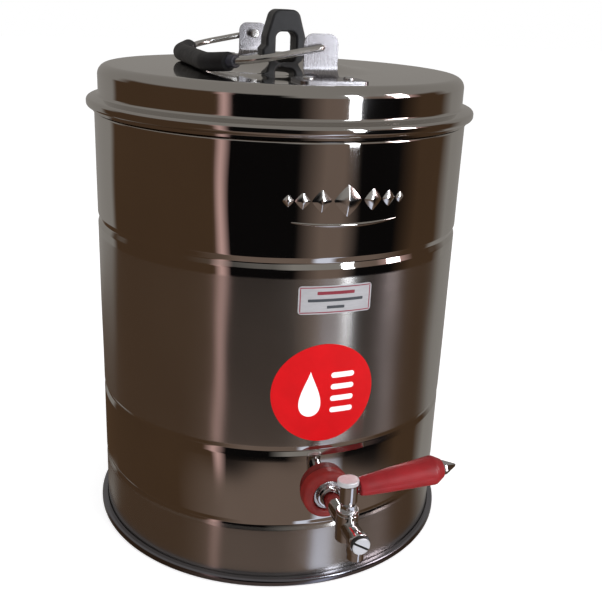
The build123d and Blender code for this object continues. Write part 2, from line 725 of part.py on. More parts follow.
def mirrored(point):
    """The same point on the bail's other arm."""
    return (point[0], -point[1])


with BuildPart() as bail_wire:
    with BuildLine(BAIL_PLANE) as wire_path:
        FilletPolyline(
            (0, TAIL_Y),
            (0, BAIL_ARM_Y),
            ARM_CORNER,
            GRIP_CORNER,
            mirrored(GRIP_CORNER),
            mirrored(ARM_CORNER),
            (0, -BAIL_ARM_Y),
            (0, -TAIL_Y),
            radius=[4, ARM_FILLET, GRIP_FILLET, GRIP_FILLET, ARM_FILLET, 4],
        )
    with BuildSketch(Plane(origin=(0, TAIL_Y, PIVOT_Z), x_dir=(1, 0, 0), z_dir=(0, 1, 0))):
        Circle(BAIL_R)
    sweep(path=wire_path.wires()[0])
    # Upset heads keep the ends in the ears
    for side in (-1, 1):
        with BuildSketch(Plane(origin=(0, side * TAIL_Y, PIVOT_Z), x_dir=(1, 0, 0), z_dir=(0, -side, 0))):
            Circle(4.4)
        extrude(amount=2.0)
bail_wire.part.label = "bail_wire"
export_step(bail_wire.part, "parts/bail_wire.step")

GRIP_START = 28.0
FERRULE_LENGTH = 8.0
grip_start = on_slope(GRIP_START)

with BuildPart() as bail_grip:
    with BuildLine(BAIL_PLANE) as grip_path:
        FilletPolyline(
            grip_start,
            GRIP_CORNER,
            mirrored(GRIP_CORNER),
            mirrored(grip_start),
            radius=[GRIP_FILLET, GRIP_FILLET],
        )
    grip_wire = grip_path.wires()[0]
    with BuildSketch(Plane(origin=grip_wire @ 0, z_dir=grip_wire % 0)):
        Circle(GRIP_R)
        Circle(BAIL_R + 0.02, mode=Mode.SUBTRACT)
    sweep(path=grip_wire)
    fillet(bail_grip.edges().filter_by(GeomType.CIRCLE).group_by(SortBy.LENGTH)[-1], radius=1.5)
bail_grip.part.label = "bail_grip"
export_step(bail_grip.part, "parts/bail_grip.step")

with BuildPart() as grip_ferrules:
    for flip in (False, True):
        outer_end = on_slope(GRIP_START - FERRULE_LENGTH)
        inner_end = grip_start
        if flip:
            outer_end = mirrored(outer_end)
            inner_end = mirrored(inner_end)
        start = BAIL_PLANE.from_local_coords(Vector(*outer_end))
        end = BAIL_PLANE.from_local_coords(Vector(*inner_end))
        with BuildSketch(Plane(origin=start, z_dir=end - start)):
            Circle(5.6)
            Circle(BAIL_R + 0.02, mode=Mode.SUBTRACT)
        extrude(amount=(end - start).length)
grip_ferrules.part.label = "grip_ferrules"
export_step(grip_ferrules.part, "parts/grip_ferrules.step")
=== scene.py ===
"""Insulated steel beverage container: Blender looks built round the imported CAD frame.

Metres, +Z up. The container's axis is Z, and its tap points along -Y.
"""

import math

import bmesh
import bpy
from mathutils import Matrix, Vector


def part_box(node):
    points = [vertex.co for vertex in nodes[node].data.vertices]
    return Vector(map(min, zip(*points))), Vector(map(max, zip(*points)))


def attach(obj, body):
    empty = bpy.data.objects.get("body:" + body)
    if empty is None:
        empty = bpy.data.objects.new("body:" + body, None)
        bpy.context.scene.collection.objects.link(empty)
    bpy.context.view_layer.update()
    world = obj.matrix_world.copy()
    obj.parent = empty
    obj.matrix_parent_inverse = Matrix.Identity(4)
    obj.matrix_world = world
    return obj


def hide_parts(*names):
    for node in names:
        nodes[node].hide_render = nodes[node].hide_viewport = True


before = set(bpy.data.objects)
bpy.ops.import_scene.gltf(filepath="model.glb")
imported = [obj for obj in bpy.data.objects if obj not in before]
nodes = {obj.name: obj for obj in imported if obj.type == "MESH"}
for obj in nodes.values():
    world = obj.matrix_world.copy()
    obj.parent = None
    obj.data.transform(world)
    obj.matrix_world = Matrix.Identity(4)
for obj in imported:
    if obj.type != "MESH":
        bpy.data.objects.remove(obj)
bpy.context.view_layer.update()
MM = 0.001


# ---- Small helpers ------------------------------------------------------------------------------

def linear(red, green, blue, gain=1.0):
    """A colour given in display values from 0 to 255, as linear light."""
    out = []
    for value in (red, green, blue):
        c = value / 255
        out.append(gain * (c / 12.92 if c <= 0.04045 else ((c + 0.055) / 1.055) ** 2.4))
    return (*out, 1.0)


def rounded(points, radii, arc_step=10.0):
    """A polyline whose inner corners are turned into arcs, one radius for each."""
    line = [Vector(points[0])]
    for before, corner, after, radius in zip(points, points[1:], points[2:], radii):
        corner = Vector(corner)
        to_before = (Vector(before) - corner).normalized()
        to_after = (Vector(after) - corner).normalized()
        inside = to_before.angle(to_after)
        if radius <= 0 or inside > math.pi - 1e-4:
            line.append(corner)
            continue
        reach = radius / math.tan(inside / 2)
        centre = corner + (to_before + to_after).normalized() * radius / math.sin(inside / 2)
        first = corner + to_before * reach - centre
        last = corner + to_after * reach - centre
        turn = math.pi - inside
        steps = max(2, math.ceil(math.degrees(turn) / arc_step))
        for i in range(steps + 1):
            t = i / steps
            part = first * math.sin((1 - t) * turn) + last * math.sin(t * turn)
            line.append(centre + part / math.sin(turn))
    line.append(Vector(points[-1]))
    return line


def divided(line, longest):
    """The same line with no step longer than the given one."""
    out = [line[0]]
    for a, b in zip(line, line[1:]):
        steps = max(1, math.ceil((b - a).length / longest))
        out += [a.lerp(b, (i + 1) / steps) for i in range(steps)]
    return out


def sheet_back(line, thickness):
    """The line offset to its right by the sheet's thickness, in reverse order, to close a profile."""
    back = []
    for i, point in enumerate(line):
        before = line[max(i - 1, 0)]
        after = line[min(i + 1, len(line) - 1)]
        along = (after - before).normalized()
        back.append(point + Vector((along.y, -along.x)) * thickness)
    return back[::-1]


def finish_mesh(name, mesh, material, body, replaces=(), sharp=38.0):
    """Links a new mesh as a piece that rides on a body."""
    piece = bpy.data.objects.new(name, mesh)
    bpy.context.scene.collection.objects.link(piece)
    mesh.materials.clear()
    mesh.materials.append(material)
    mesh.polygons.foreach_set("use_smooth", [True] * len(mesh.polygons))
    mesh.set_sharp_from_angle(angle=math.radians(sharp))
    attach(piece, body)
    if replaces:
        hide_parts(*replaces)
    return piece


def weigh_normals(piece):
    """Keeps flat faces flat beside their rounded edges."""
    weighted = piece.modifiers.new("weighted", "WEIGHTED_NORMAL")
    weighted.weight = 100
    weighted.keep_sharp = True


def lathe_mesh(line, segments, closed=True, place=None, warp=None):
    """A mesh turned about Z from (radius, height) points in metres. place moves it, warp bends a point."""
    bm = bmesh.new()
    rows = []
    for radius, height in line:
        if radius < 1e-7:
            rows.append([bm.verts.new((0, 0, height))])
            continue
        row = []
        for i in range(segments):
            a = 2 * math.pi * i / segments
            row.append(bm.verts.new((radius * math.sin(a), -radius * math.cos(a), height)))
        rows.append(row)
    pairs = list(zip(rows, rows[1:]))
    if closed:
        pairs.append((rows[-1], rows[0]))
    for low, high in pairs:
        if len(low) == 1 and len(high) == 1:
            continue
        for i in range(segments):
            j = (i + 1) % segments
            if len(low) == 1:
                bm.faces.new((low[0], high[j], high[i]))
            elif len(high) == 1:
                bm.faces.new((low[i], low[j], high[0]))
            else:
                bm.faces.new((low[i], low[j], high[j], high[i]))
    if warp:
        for vert in bm.verts:
            vert.co = warp(vert.co)
    if place:
        bm.transform(place)
    bmesh.ops.recalc_face_normals(bm, faces=bm.faces)
    mesh = bpy.data.meshes.new("turned")
    bm.to_mesh(mesh)
    bm.free()
    return mesh


def tube_mesh(path, radii, sides=24):
    """A round tube along a path, with one radius for each point. Ends close to a flat cap."""
    bm = bmesh.new()
    along = (path[1] - path[0]).normalized()
    side = along.orthogonal().normalized()
    rings = []
    for i, (point, radius) in enumerate(zip(path, radii)):
        ahead = path[min(i + 1, len(path) - 1)] - path[max(i - 1, 0)]
        ahead = ahead.normalized() if ahead.length > 1e-9 else along
        side = along.rotation_difference(ahead) @ side
        along = ahead
        other = along.cross(side)
        ring = []
        for k in range(sides):
            a = 2 * math.pi * k / sides
            ring.append(bm.verts.new(point + radius * (math.cos(a) * side + math.sin(a) * other)))
        rings.append(ring)
    for low, high in zip(rings, rings[1:]):
        for k in range(sides):
            m = (k + 1) % sides
            bm.faces.new((low[k], low[m], high[m], high[k]))
    bm.faces.new(rings[0][::-1])
    bm.faces.new(rings[-1])
    bmesh.ops.recalc_face_normals(bm, faces=bm.faces)
    mesh = bpy.data.meshes.new("tube")
    bm.to_mesh(mesh)
    bm.free()
    return mesh


def softened_mesh(node, width, sharp=32.0, segments=2):
    """A copy of a CAD node's mesh with its sharp edges rounded over."""
    bm = bmesh.new()
    bm.from_mesh(nodes[node].data)
    bmesh.ops.remove_doubles(bm, verts=bm.verts, dist=2e-6)
    bmesh.ops.dissolve_limit(bm, angle_limit=math.radians(0.8), verts=bm.verts, edges=bm.edges)
    edges = [e for e in bm.edges if len(e.link_faces) == 2 and e.calc_face_angle(0) > math.radians(sharp)]
    bmesh.ops.bevel(bm, geom=edges, offset=width, offset_type="OFFSET", segments=segments, profile=0.5,
                    affect="EDGES", clamp_overlap=True)
    mesh = bpy.data.meshes.new("softened")
    bm.to_mesh(mesh)
    bm.free()
    return mesh


def decal_mesh(outlines, centre_x, centre_z, inner, outer, strip=0.003):
    """Flat outlines, drawn in metres, wrapped on the container's wall as a film between two radii."""
    bm = bmesh.new()
    for outline in outlines:
        bm.faces.new([bm.verts.new((centre_x + x, 0, centre_z + z)) for x, z in outline])
    low_x = min(v.co.x for v in bm.verts)
    high_x = max(v.co.x for v in bm.verts)
    cuts = max(1, math.ceil((high_x - low_x) / strip))
    for i in range(1, cuts):
        at = low_x + (high_x - low_x) * i / cuts
        everything = bm.verts[:] + bm.edges[:] + bm.faces[:]
        bmesh.ops.bisect_plane(bm, geom=everything, plane_co=(at, 0, 0), plane_no=(1, 0, 0))
    for vert in bm.verts:
        vert.co.y = -math.sqrt(outer ** 2 - vert.co.x ** 2)
    bmesh.ops.recalc_face_normals(bm, faces=bm.faces)
    top = bm.faces[:]
    made = bmesh.ops.extrude_face_region(bm, geom=top)
    for vert in [g for g in made["geom"] if isinstance(g, bmesh.types.BMVert)]:
        vert.co.y = -math.sqrt(inner ** 2 - vert.co.x ** 2)
    bmesh.ops.recalc_face_normals(bm, faces=bm.faces)
    mesh = bpy.data.meshes.new("film")
    bm.to_mesh(mesh)
    bm.free()
    return mesh


def plate_outline(half_w, half_h, corner, centre=(0.0, 0.0), steps=6):
    """A rectangle with round corners, counter-clockwise."""
    out = []
    for quarter, (sx, sz) in enumerate(((1, 1), (-1, 1), (-1, -1), (1, -1))):
        for i in range(steps + 1):
            a = math.pi / 2 * (quarter + i / steps)
            x = sx * (half_w - corner) + corner * math.cos(a)
            z = sz * (half_h - corner) + corner * math.sin(a)
            out.append((centre[0] + x, centre[1] + z))
    return out


# ---- Materials ----------------------------------------------------------------------------------

class Look:
    """A node material, built on one Principled shader."""

    def __init__(self, name, base, metallic, roughness, **constants):
        self.material = bpy.data.materials.new(name)
        self.material.use_nodes = True
        self.tree = self.material.node_tree
        self.shader = self.tree.nodes["Principled BSDF"]
        self.set("Base Color", base)
        self.set("Metallic", metallic)
        self.set("Roughness", roughness)
        for socket, value in constants.items():
            self.set(socket.replace("_", " "), value)
        self.where = self.tree.nodes.new("ShaderNodeTexCoord").outputs["Object"]

    def set(self, socket, value):
        target = self.shader.inputs[socket]
        if isinstance(value, bpy.types.NodeSocket):
            self.tree.links.new(value, target)
        else:
            target.default_value = value

    def feed(self, node, socket, value):
        if isinstance(value, bpy.types.NodeSocket):
            self.tree.links.new(value, node.inputs[socket])
        else:
            node.inputs[socket].default_value = value

    def stretched(self, x, y, z):
        node = self.tree.nodes.new("ShaderNodeMapping")
        self.tree.links.new(self.where, node.inputs["Vector"])
        node.inputs["Scale"].default_value = (x, y, z)
        return node.outputs["Vector"]

    def noise(self, scale, vector=None, detail=3.0, rough=0.55, distortion=0.0):
        node = self.tree.nodes.new("ShaderNodeTexNoise")
        self.tree.links.new(vector or self.where, node.inputs["Vector"])
        node.inputs["Scale"].default_value = scale
        node.inputs["Detail"].default_value = detail
        node.inputs["Roughness"].default_value = rough
        node.inputs["Distortion"].default_value = distortion
        return node.outputs["Fac"]

    def axis(self, name, vector=None):
        node = self.tree.nodes.new("ShaderNodeSeparateXYZ")
        self.tree.links.new(vector or self.where, node.inputs[0])
        return node.outputs[name]

    def span(self, value, low, high, to_low=0.0, to_high=1.0, smooth=False):
        node = self.tree.nodes.new("ShaderNodeMapRange")
        if smooth:
            node.interpolation_type = "SMOOTHSTEP"
        self.feed(node, "Value", value)
        ends = {"From Min": low, "From Max": high, "To Min": to_low, "To Max": to_high}
        for socket, number in ends.items():
            self.feed(node, socket, number)
        return node.outputs["Result"]

    def calc(self, operation, a, b=0.0):
        node = self.tree.nodes.new("ShaderNodeMath")
        node.operation = operation
        self.feed(node, 0, a)
        self.feed(node, 1, b)
        return node.outputs[0]

    def blend(self, share, a, b):
        node = self.tree.nodes.new("ShaderNodeMix")
        node.data_type = "RGBA"
        self.feed(node, "Factor", share)
        for socket, value in (("A", a), ("B", b)):
            target = [s for s in node.inputs if s.name == socket and s.type == "RGBA"][0]
            if isinstance(value, bpy.types.NodeSocket):
                self.tree.links.new(value, target)
            else:
                target.default_value = value
        return [s for s in node.outputs if s.type == "RGBA"][0]

    def bump(self, height, distance, strength=1.0):
        node = self.tree.nodes.new("ShaderNodeBump")
        node.inputs["Strength"].default_value = strength
        node.inputs["Distance"].default_value = distance
        self.tree.links.new(height, node.inputs["Height"])
        previous = self.shader.inputs["Normal"]
        if previous.is_linked:
            self.tree.links.new(previous.links[0].from_socket, node.inputs["Normal"])
        self.tree.links.new(node.outputs["Normal"], previous)

    def radial_tangent(self):
        node = self.tree.nodes.new("ShaderNodeTangent")
        node.direction_type = "RADIAL"
        node.axis = "Z"
        self.tree.links.new(node.outputs["Tangent"], self.shader.inputs["Tangent"])


def band(look, height, low, high, edge):
    """1 between two heights, 0 outside, with soft edges."""
    rise = look.span(height, (low - edge) * MM, (low + edge) * MM, smooth=True)
    fall = look.span(height, (high - edge) * MM, (high + edge) * MM, 1.0, 0.0, smooth=True)
    return look.calc("MULTIPLY", rise, fall)


STEEL = (0.63, 0.61, 0.59, 1.0)
# Brushed bands on the wall, in millimetres: lowest, highest, and how soft the edge is
SATIN_BANDS = ((4, 61.5, 0.8), (147, 307, 1.2))


def wall_steel():
    """Stainless sheet with mirror-polished and brushed bands round it."""
    look = Look("wall_steel", STEEL, 1.0, 0.05, Anisotropic=0.95, Anisotropic_Rotation=0.25)
    look.radial_tangent()
    z = look.axis("Z")
    waver = look.span(look.noise(9, look.stretched(1, 1, 6)), 0, 1, -1.2 * MM, 1.2 * MM)
    ragged = look.calc("ADD", z, waver)
    satin = look.calc("ADD", *[band(look, ragged, *heights) for heights in SATIN_BANDS])
    lines = look.noise(1.0, look.stretched(14, 14, 2600), detail=4, rough=0.7)
    patches = look.noise(7, detail=4, rough=0.6)
    mirror_rough = look.span(patches, 0.35, 0.75, 0.03, 0.055)
    satin_patches = look.span(patches, 0.3, 0.7, 0.205, 0.225)
    satin_rough = look.calc("ADD", satin_patches, look.span(lines, 0.3, 0.7, -0.01, 0.012))
    rough = look.tree.nodes.new("ShaderNodeMix")
    look.feed(rough, "Factor", satin)
    look.feed(rough, "A", mirror_rough)
    look.feed(rough, "B", satin_rough)
    look.set("Roughness", rough.outputs["Result"])
    tone = look.blend(look.span(patches, 0.3, 0.7, 0.0, 1.0), (0.60, 0.58, 0.56, 1), (0.66, 0.64, 0.615, 1))
    streak = look.calc("MULTIPLY", satin, look.span(lines, 0.3, 0.7, 0.0, 0.5))
    look.set("Base Color", look.blend(streak, tone, (0.68, 0.665, 0.65, 1)))
    look.bump(look.calc("MULTIPLY", look.calc("SUBTRACT", lines, 0.5), satin), 0.004 * MM)
    return look.material


def polished_steel(name, tint=STEEL, low=0.035, high=0.07, grain=0.004):
    """Spun and buffed stainless sheet, with faint buffing marks and smudges."""
    look = Look(name, tint, 1.0, low, Anisotropic=0.5)
    look.radial_tangent()
    smudge = look.noise(16, detail=5, rough=0.6)
    look.set("Roughness", look.span(smudge, 0.35, 0.7, low, high))
    darker = tuple(0.93 * c for c in tint[:3]) + (1.0,)
    look.set("Base Color", look.blend(look.span(look.noise(5), 0.35, 0.65), darker, tint))
    look.bump(look.noise(1.0, look.stretched(220, 220, 900), detail=3), grain * MM)
    return look.material


def satin_steel(name, tint=STEEL, low=0.24, high=0.34, brushed=(60, 60, 1500), metal=1.0, shade_behind_y=None):
    """Brushed stainless: the grain runs where the stretch is least. Behind the given Y plane, the tone is
    painted near black: painted shade in a slot or recess.
    """
    look = Look(name, tint, metal, low)
    lines = look.noise(1.0, look.stretched(*brushed), detail=4, rough=0.7)
    patches = look.noise(30, detail=3)
    uneven = look.span(patches, 0.3, 0.7, low, high)
    look.set("Roughness", look.calc("ADD", uneven, look.span(lines, 0.3, 0.7, -0.03, 0.04)))
    darker = tuple(0.86 * c for c in tint[:3]) + (1.0,)
    tone = look.blend(look.span(lines, 0.3, 0.7), darker, tint)
    # Painted shade: the tone turns near black behind the given Y, in a slot and round a head's sides.
    if shade_behind_y is not None:
        painted_shade = look.span(look.axis("Y"), shade_behind_y, shade_behind_y + 0.4 * MM, smooth=True)
        tone = look.blend(painted_shade, tone, (0.03, 0.028, 0.026, 1))
    look.set("Base Color", tone)
    look.bump(lines, 0.02 * MM)
    return look.material


def chrome(name="tap_chrome", tint=(0.72, 0.71, 0.72, 1), low=0.04, high=0.09, cast=0.03):
    """Bright nickel-chrome over a polished casting, a little wavy."""
    look = Look(name, tint, 1.0, low)
    look.set("Roughness", look.span(look.noise(140, detail=4), 0.35, 0.7, low, high))
    darker = tuple(0.9 * c for c in tint[:3]) + (1.0,)
    look.set("Base Color", look.blend(look.span(look.noise(60), 0.35, 0.65), darker, tint))
    look.bump(look.noise(180, detail=2), cast * MM)
    return look.material


def moulded(name, colour, other, rough=(0.32, 0.45), peel=0.03, peel_scale=900, coat=0.0, gloss=0.5):
    """Moulded plastic or rubber: two close shades, uneven gloss and a fine peel."""
    look = Look(name, colour, 0.0, rough[0], Coat_Weight=coat, Coat_Roughness=0.12, Specular_IOR_Level=gloss)
    soft = look.noise(45, detail=4, rough=0.6)
    look.set("Base Color", look.blend(look.span(soft, 0.35, 0.65), colour, other))
    look.set("Roughness", look.span(look.noise(120, detail=4), 0.3, 0.7, *rough))
    look.bump(look.noise(peel_scale, detail=3, rough=0.6), peel * MM)
    return look.material


WALL = wall_steel()
LID = polished_steel("lid_steel")
# Painted shade: the foot ring's tint is darkened well below steel's to stand in for the dark surroundings it
# reflects.
RIM = polished_steel("rim_steel_painted_dark", (0.26, 0.26, 0.29, 1), low=0.12, high=0.22)
STUD = polished_steel("stud_steel", (0.74, 0.73, 0.72, 1), low=0.10, high=0.16, grain=0.01)
TANK = satin_steel("tank_steel", low=0.24, high=0.30, brushed=(500, 500, 1500))
BRACKET = satin_steel("bracket_steel", (0.42, 0.41, 0.43, 1), 0.20, 0.28, brushed=(1500, 60, 60))
WIRE = satin_steel("wire_steel", (0.74, 0.73, 0.72, 1), 0.14, 0.22, brushed=(90, 90, 90))
CHROME = chrome()
SCREW = satin_steel("screw_steel", (0.76, 0.76, 0.77, 1), 0.2, 0.32, brushed=(700, 700, 700))
# The front screw's slot and the sides of its head, behind its face, are painted near black as painted shade.
FRONT = satin_steel("front_screw_steel", (0.70, 0.71, 0.74, 1), 0.3, 0.4, brushed=(1400, 60, 1400), metal=0.4,
                    shade_behind_y=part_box("front_screw")[0].y + 0.4 * MM)
CAP = satin_steel("cap_chrome", (0.78, 0.78, 0.80, 1), 0.36, 0.44, brushed=(300, 300, 300), metal=0.5)
GRIP_RED = moulded("lever_red", linear(150, 18, 26), linear(132, 12, 20), (0.34, 0.46), 0.05, 400, coat=0.12)
FLANGE_RED = moulded("flange_red", linear(140, 30, 24), linear(118, 20, 18), (0.38, 0.52), 0.03, 700,
                     coat=0.06)
KNOB_BLACK = moulded("knob_black", linear(24, 25, 27), linear(34, 35, 37), (0.36, 0.5), 0.03, 1100)
GRIP_BLACK = moulded("grip_black", linear(17, 17, 20), linear(27, 27, 30), (0.46, 0.6), 0.05, 800)
GREY = moulded("ferrule_grey", linear(46, 46, 54), linear(36, 36, 42), (0.3, 0.42), 0.02, 900)
RUBBER = moulded("rubber_black", linear(28, 28, 28), linear(38, 38, 38), (0.6, 0.75), 0.06, 700)
SILICONE = moulded("silicone_white", linear(214, 212, 206), linear(198, 196, 190), (0.45, 0.6), 0.04, 500)
FOAM = moulded("foam_yellow", linear(214, 190, 130), linear(186, 160, 104), (0.8, 0.95), 0.6, 320)
STICKER = moulded("sticker_red", linear(202, 0, 10), linear(194, 0, 8), (0.45, 0.55), 0.008, 300, gloss=0.15)
PRINT_WHITE = moulded("print_white", linear(244, 244, 244), linear(236, 236, 238), (0.4, 0.5), 0.006, 300,
                      gloss=0.2)
FOIL = satin_steel("label_foil", (0.50, 0.50, 0.52, 1), 0.34, 0.42, brushed=(120, 120, 900), metal=0.3)
PRINT_RED = moulded("print_red", linear(140, 42, 58), linear(126, 34, 50), (0.35, 0.5), 0.006, 300)
PRINT_GREY = moulded("print_grey", linear(66, 70, 76), linear(56, 60, 66), (0.35, 0.5), 0.006, 300)

for node, material in {
    "base_pan": TANK, "inner_tank": TANK, "insulation": FOAM, "round_sticker": STICKER, "info_label": FOIL,
    "tap_sleeve": TANK, "tap_flange": FLANGE_RED, "tap_washer": SCREW, "tap_body": CHROME,
    "tank_washer": RUBBER, "lock_nut": CHROME, "front_screw": FRONT, "plug_seal": RUBBER,
    "gland_nut": CHROME, "tap_plug": CHROME, "lever_rod": CHROME, "lever_grip": GRIP_RED,
    "lever_tip": CHROME, "lid_liner": TANK, "lid_insulation": FOAM, "lid_seal": SILICONE,
    "front_bracket": BRACKET, "rear_bracket": BRACKET, "bracket_rivets": SCREW, "lid_knob": KNOB_BLACK,
    "knob_screws": SCREW, "bail_wire": WIRE, "bail_grip": GRIP_BLACK, "grip_ferrules": GREY,
}.items():
    nodes[node].material_slots[0].material = material

# ---- Body ---------------------------------------------------------------------------------------

wall_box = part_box("outer_shell")
WALL_R = wall_box[1].x
NECK_TOP = wall_box[1].z
NECK_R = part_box("inner_tank")[1].x
SHOULDER = 0.423
SHEET = 1.0 * MM
# Steps round the container's large turned pieces
FINE = 384
SWAGES = (0.0636, 0.1423, 0.320)
SWAGE_HALF = 5.2 * MM
SWAGE_DEPTH = 1.8 * MM


def wavy(amount):
    """A warp that gives a sheet the faint unevenness of a rolled and welded drum."""
    def warp(point):
        a = math.atan2(point.x, -point.y)
        z = point.z
        wave = math.sin(5 * a + 21 * z + 0.6)
        wave += 0.7 * math.sin(11 * a - 34 * z)
        wave += 0.5 * math.sin(17 * a + 52 * z + 2)
        share = 1 - amount * wave / math.hypot(point.x, point.y)
        return Vector((point.x * share, point.y * share, z))
    return warp


wall_points = [(WALL_R, wall_box[0].z)]
wall_radii = []
for swage in SWAGES:
    wall_points += [
        (WALL_R, swage - SWAGE_HALF), (WALL_R - SWAGE_DEPTH, swage), (WALL_R, swage + SWAGE_HALF),
    ]
    wall_radii += [4 * MM, 2.2 * MM, 4 * MM]
wall_points += [(WALL_R, SHOULDER), (NECK_R, SHOULDER), (NECK_R, NECK_TOP)]
wall_radii += [3 * MM, 2 * MM]
wall_line = divided(rounded(wall_points, wall_radii, 4), 6 * MM)
wall_profile = wall_line + sheet_back(wall_line, -SHEET)
finish_mesh("body_wall", lathe_mesh(wall_profile, FINE, warp=wavy(0.10 * MM)), WALL, "container",
            ["outer_shell"])

rim_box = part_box("base_rim")
rim_out = rim_box[1].x
rim_points = [
    (WALL_R + 0.1 * MM, 1.0 * MM), (WALL_R + 0.6 * MM, 0.0), (rim_out, 0.0), (rim_out, rim_box[1].z),
    (WALL_R + 1.1 * MM, rim_box[1].z), (WALL_R + 0.1 * MM, rim_box[1].z - 1.6 * MM),
    (WALL_R + 0.1 * MM, 1.0 * MM),
]
rim_line = rounded(rim_points, [0, 2.6 * MM, 2.9 * MM, 0.9 * MM, 0])
finish_mesh("foot_ring", lathe_mesh(rim_line[:-1], FINE), RIM, "container", ["base_rim"])

# ---- Lid ----------------------------------------------------------------------------------------

lid_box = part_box("lid_shell")
LID_TOP = 0.465
DOME_TOP = lid_box[1].z
DOME_R = 0.095
LID_R = 0.176
rise_half = (DOME_TOP - LID_TOP) / 2
arc_r = ((DOME_R / 2) ** 2 + rise_half ** 2) / (2 * rise_half)
full_turn = math.asin(DOME_R / 2 / arc_r)
DOME_STEPS = 24
lid_line = []
for i in range(DOME_STEPS + 1):
    a = full_turn * i / DOME_STEPS
    lid_line.append(Vector((arc_r * math.sin(a), DOME_TOP - arc_r * (1 - math.cos(a)))))
for i in range(1, DOME_STEPS + 1):
    a = full_turn * (1 - i / DOME_STEPS)
    lid_line.append(Vector((DOME_R - arc_r * math.sin(a), LID_TOP + arc_r * (1 - math.cos(a)))))
bead = lid_box[1].x
lid_side = rounded(
    [
        (DOME_R, LID_TOP), (LID_R, LID_TOP), (LID_R, 437.5 * MM), (bead, 434.5 * MM), (bead, 427 * MM),
        (181.5 * MM, 426 * MM), (181.5 * MM, lid_box[0].z),
    ],
    [10 * MM, 3 * MM, 3.4 * MM, 3.4 * MM, 1 * MM],
    6,
)
lid_line = divided(lid_line + lid_side[1:], 5 * MM)
lid_profile = lid_line + sheet_back(lid_line, SHEET)
lid_profile[-1].x = 0
finish_mesh("lid_cover", lathe_mesh(lid_profile, FINE), LID, "lid", ["lid_shell"])

# ---- Tap ----------------------------------------------------------------------------------------

TAP_Z = 0.100
PLUG_Y = -0.237
OUTLET_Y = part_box("tap_body")[0].y + 8.4 * MM
tap_place = Matrix.Translation((0, 0, TAP_Z)) @ Matrix.Rotation(math.pi / 2, 4, "X")
plug_place = Matrix.Translation((0, PLUG_Y, 0))


def mm_line(points, radii, arc_step=8.0, longest=4.0):
    """A profile given in millimetres, with its corners rounded, in metres."""
    scaled = [(r * MM, h * MM) for r, h in points]
    return divided(rounded(scaled, [r * MM for r in radii], arc_step), longest * MM)


# Steps round the tap's larger and smaller turned pieces
TAP_ROUND = 96
LEVER_ROUND = 72
FLANGE_R = 23.8
FLANGE_FACE = 192.5
SEAT = 188.0
SHOULDER_L = 189.8
WALL_L = WALL_R / MM


def onto_wall(point):
    """Lays the back of a turned washer on the wall; height is the distance from the container's axis."""
    on_wall = math.sqrt(WALL_R ** 2 - point.x ** 2)
    if point.z < WALL_R:
        return Vector((point.x, point.y, on_wall + 0.02 * MM))
    return point


flange_line = mm_line(
    [
        (9.6, WALL_L - 1), (FLANGE_R, WALL_L - 1), (FLANGE_R, FLANGE_FACE), (14.8, FLANGE_FACE), (14.8, SEAT),
        (9.6, SEAT), (9.6, WALL_L + 1),
    ],
    [0, 5.5, 2.5, 0.4, 0.3],
)
finish_mesh("tap_flange_ring", lathe_mesh(flange_line, 128, place=tap_place, warp=onto_wall), FLANGE_RED,
            "container", ["tap_flange"], sharp=50)

barrel_line = mm_line(
    [
        (4.6, 142), (9, 142), (9, SHOULDER_L), (11.5, SHOULDER_L), (11.5, SHOULDER_L + 3),
        (8.2, SHOULDER_L + 3), (8.2, 262), (9.4, 262), (9.4, 268), (5.3, 268), (5.3, 262), (4.6, 262),
        (4.6, 150),
    ],
    [0.5, 0.2, 0.8, 0.9, 1.4, 1.0, 0.7, 1.0, 0.4, 0.2, 0.2],
)
finish_mesh("tap_barrel", lathe_mesh(barrel_line, TAP_ROUND, place=tap_place), CHROME, "container",
            ["tap_body"])
housing_line = mm_line(
    [(0, 85), (10, 85), (10, 112), (7.06, 112), (7.06, 88), (0, 88)],
    [1.6, 0.9, 0.3, 0.3],
)
finish_mesh("tap_housing", lathe_mesh(housing_line, TAP_ROUND, closed=False, place=plug_place), CHROME,
            "container", ["tap_body"])
nozzle_line = mm_line(
    [(5.0, 90), (5.0, 81), (7.6, 81), (7.6, 87), (8.2, 87), (8.2, 100), (5.0, 100), (5.0, 90)],
    [0.5, 0.6, 0.3, 0.5, 1.0, 0.2],
)
nozzle_place = Matrix.Translation((0, OUTLET_Y, 0))
finish_mesh("tap_nozzle", lathe_mesh(nozzle_line[:-1], TAP_ROUND, place=nozzle_place), CHROME, "container",
            ["tap_body"])

weigh_normals(finish_mesh("gland", softened_mesh("gland_nut", 0.35 * MM), CHROME, "container",
                          ["gland_nut"], 50))
weigh_normals(finish_mesh("front_slotted_screw", softened_mesh("front_screw", 0.2 * MM), FRONT, "container",
                          ["front_screw"], 50))

cock_line = mm_line([(0, 88.3), (7, 88.3), (7, 110), (4.5, 110), (4.5, 124), (0, 124)], [0.4, 0.3, 0.4, 0.2])
finish_mesh("tap_cock", lathe_mesh(cock_line, LEVER_ROUND, closed=False, place=plug_place), CHROME, "lever",
            ["tap_plug"])


def drawn_out(reach):
    """A warp that draws a turned shape out sideways, along X, by the same reach on both sides."""
    def warp(point):
        if abs(point.x) < 0.05 * MM:
            return point
        return Vector((point.x + math.copysign(reach * MM, point.x), point.y, point.z))
    return warp


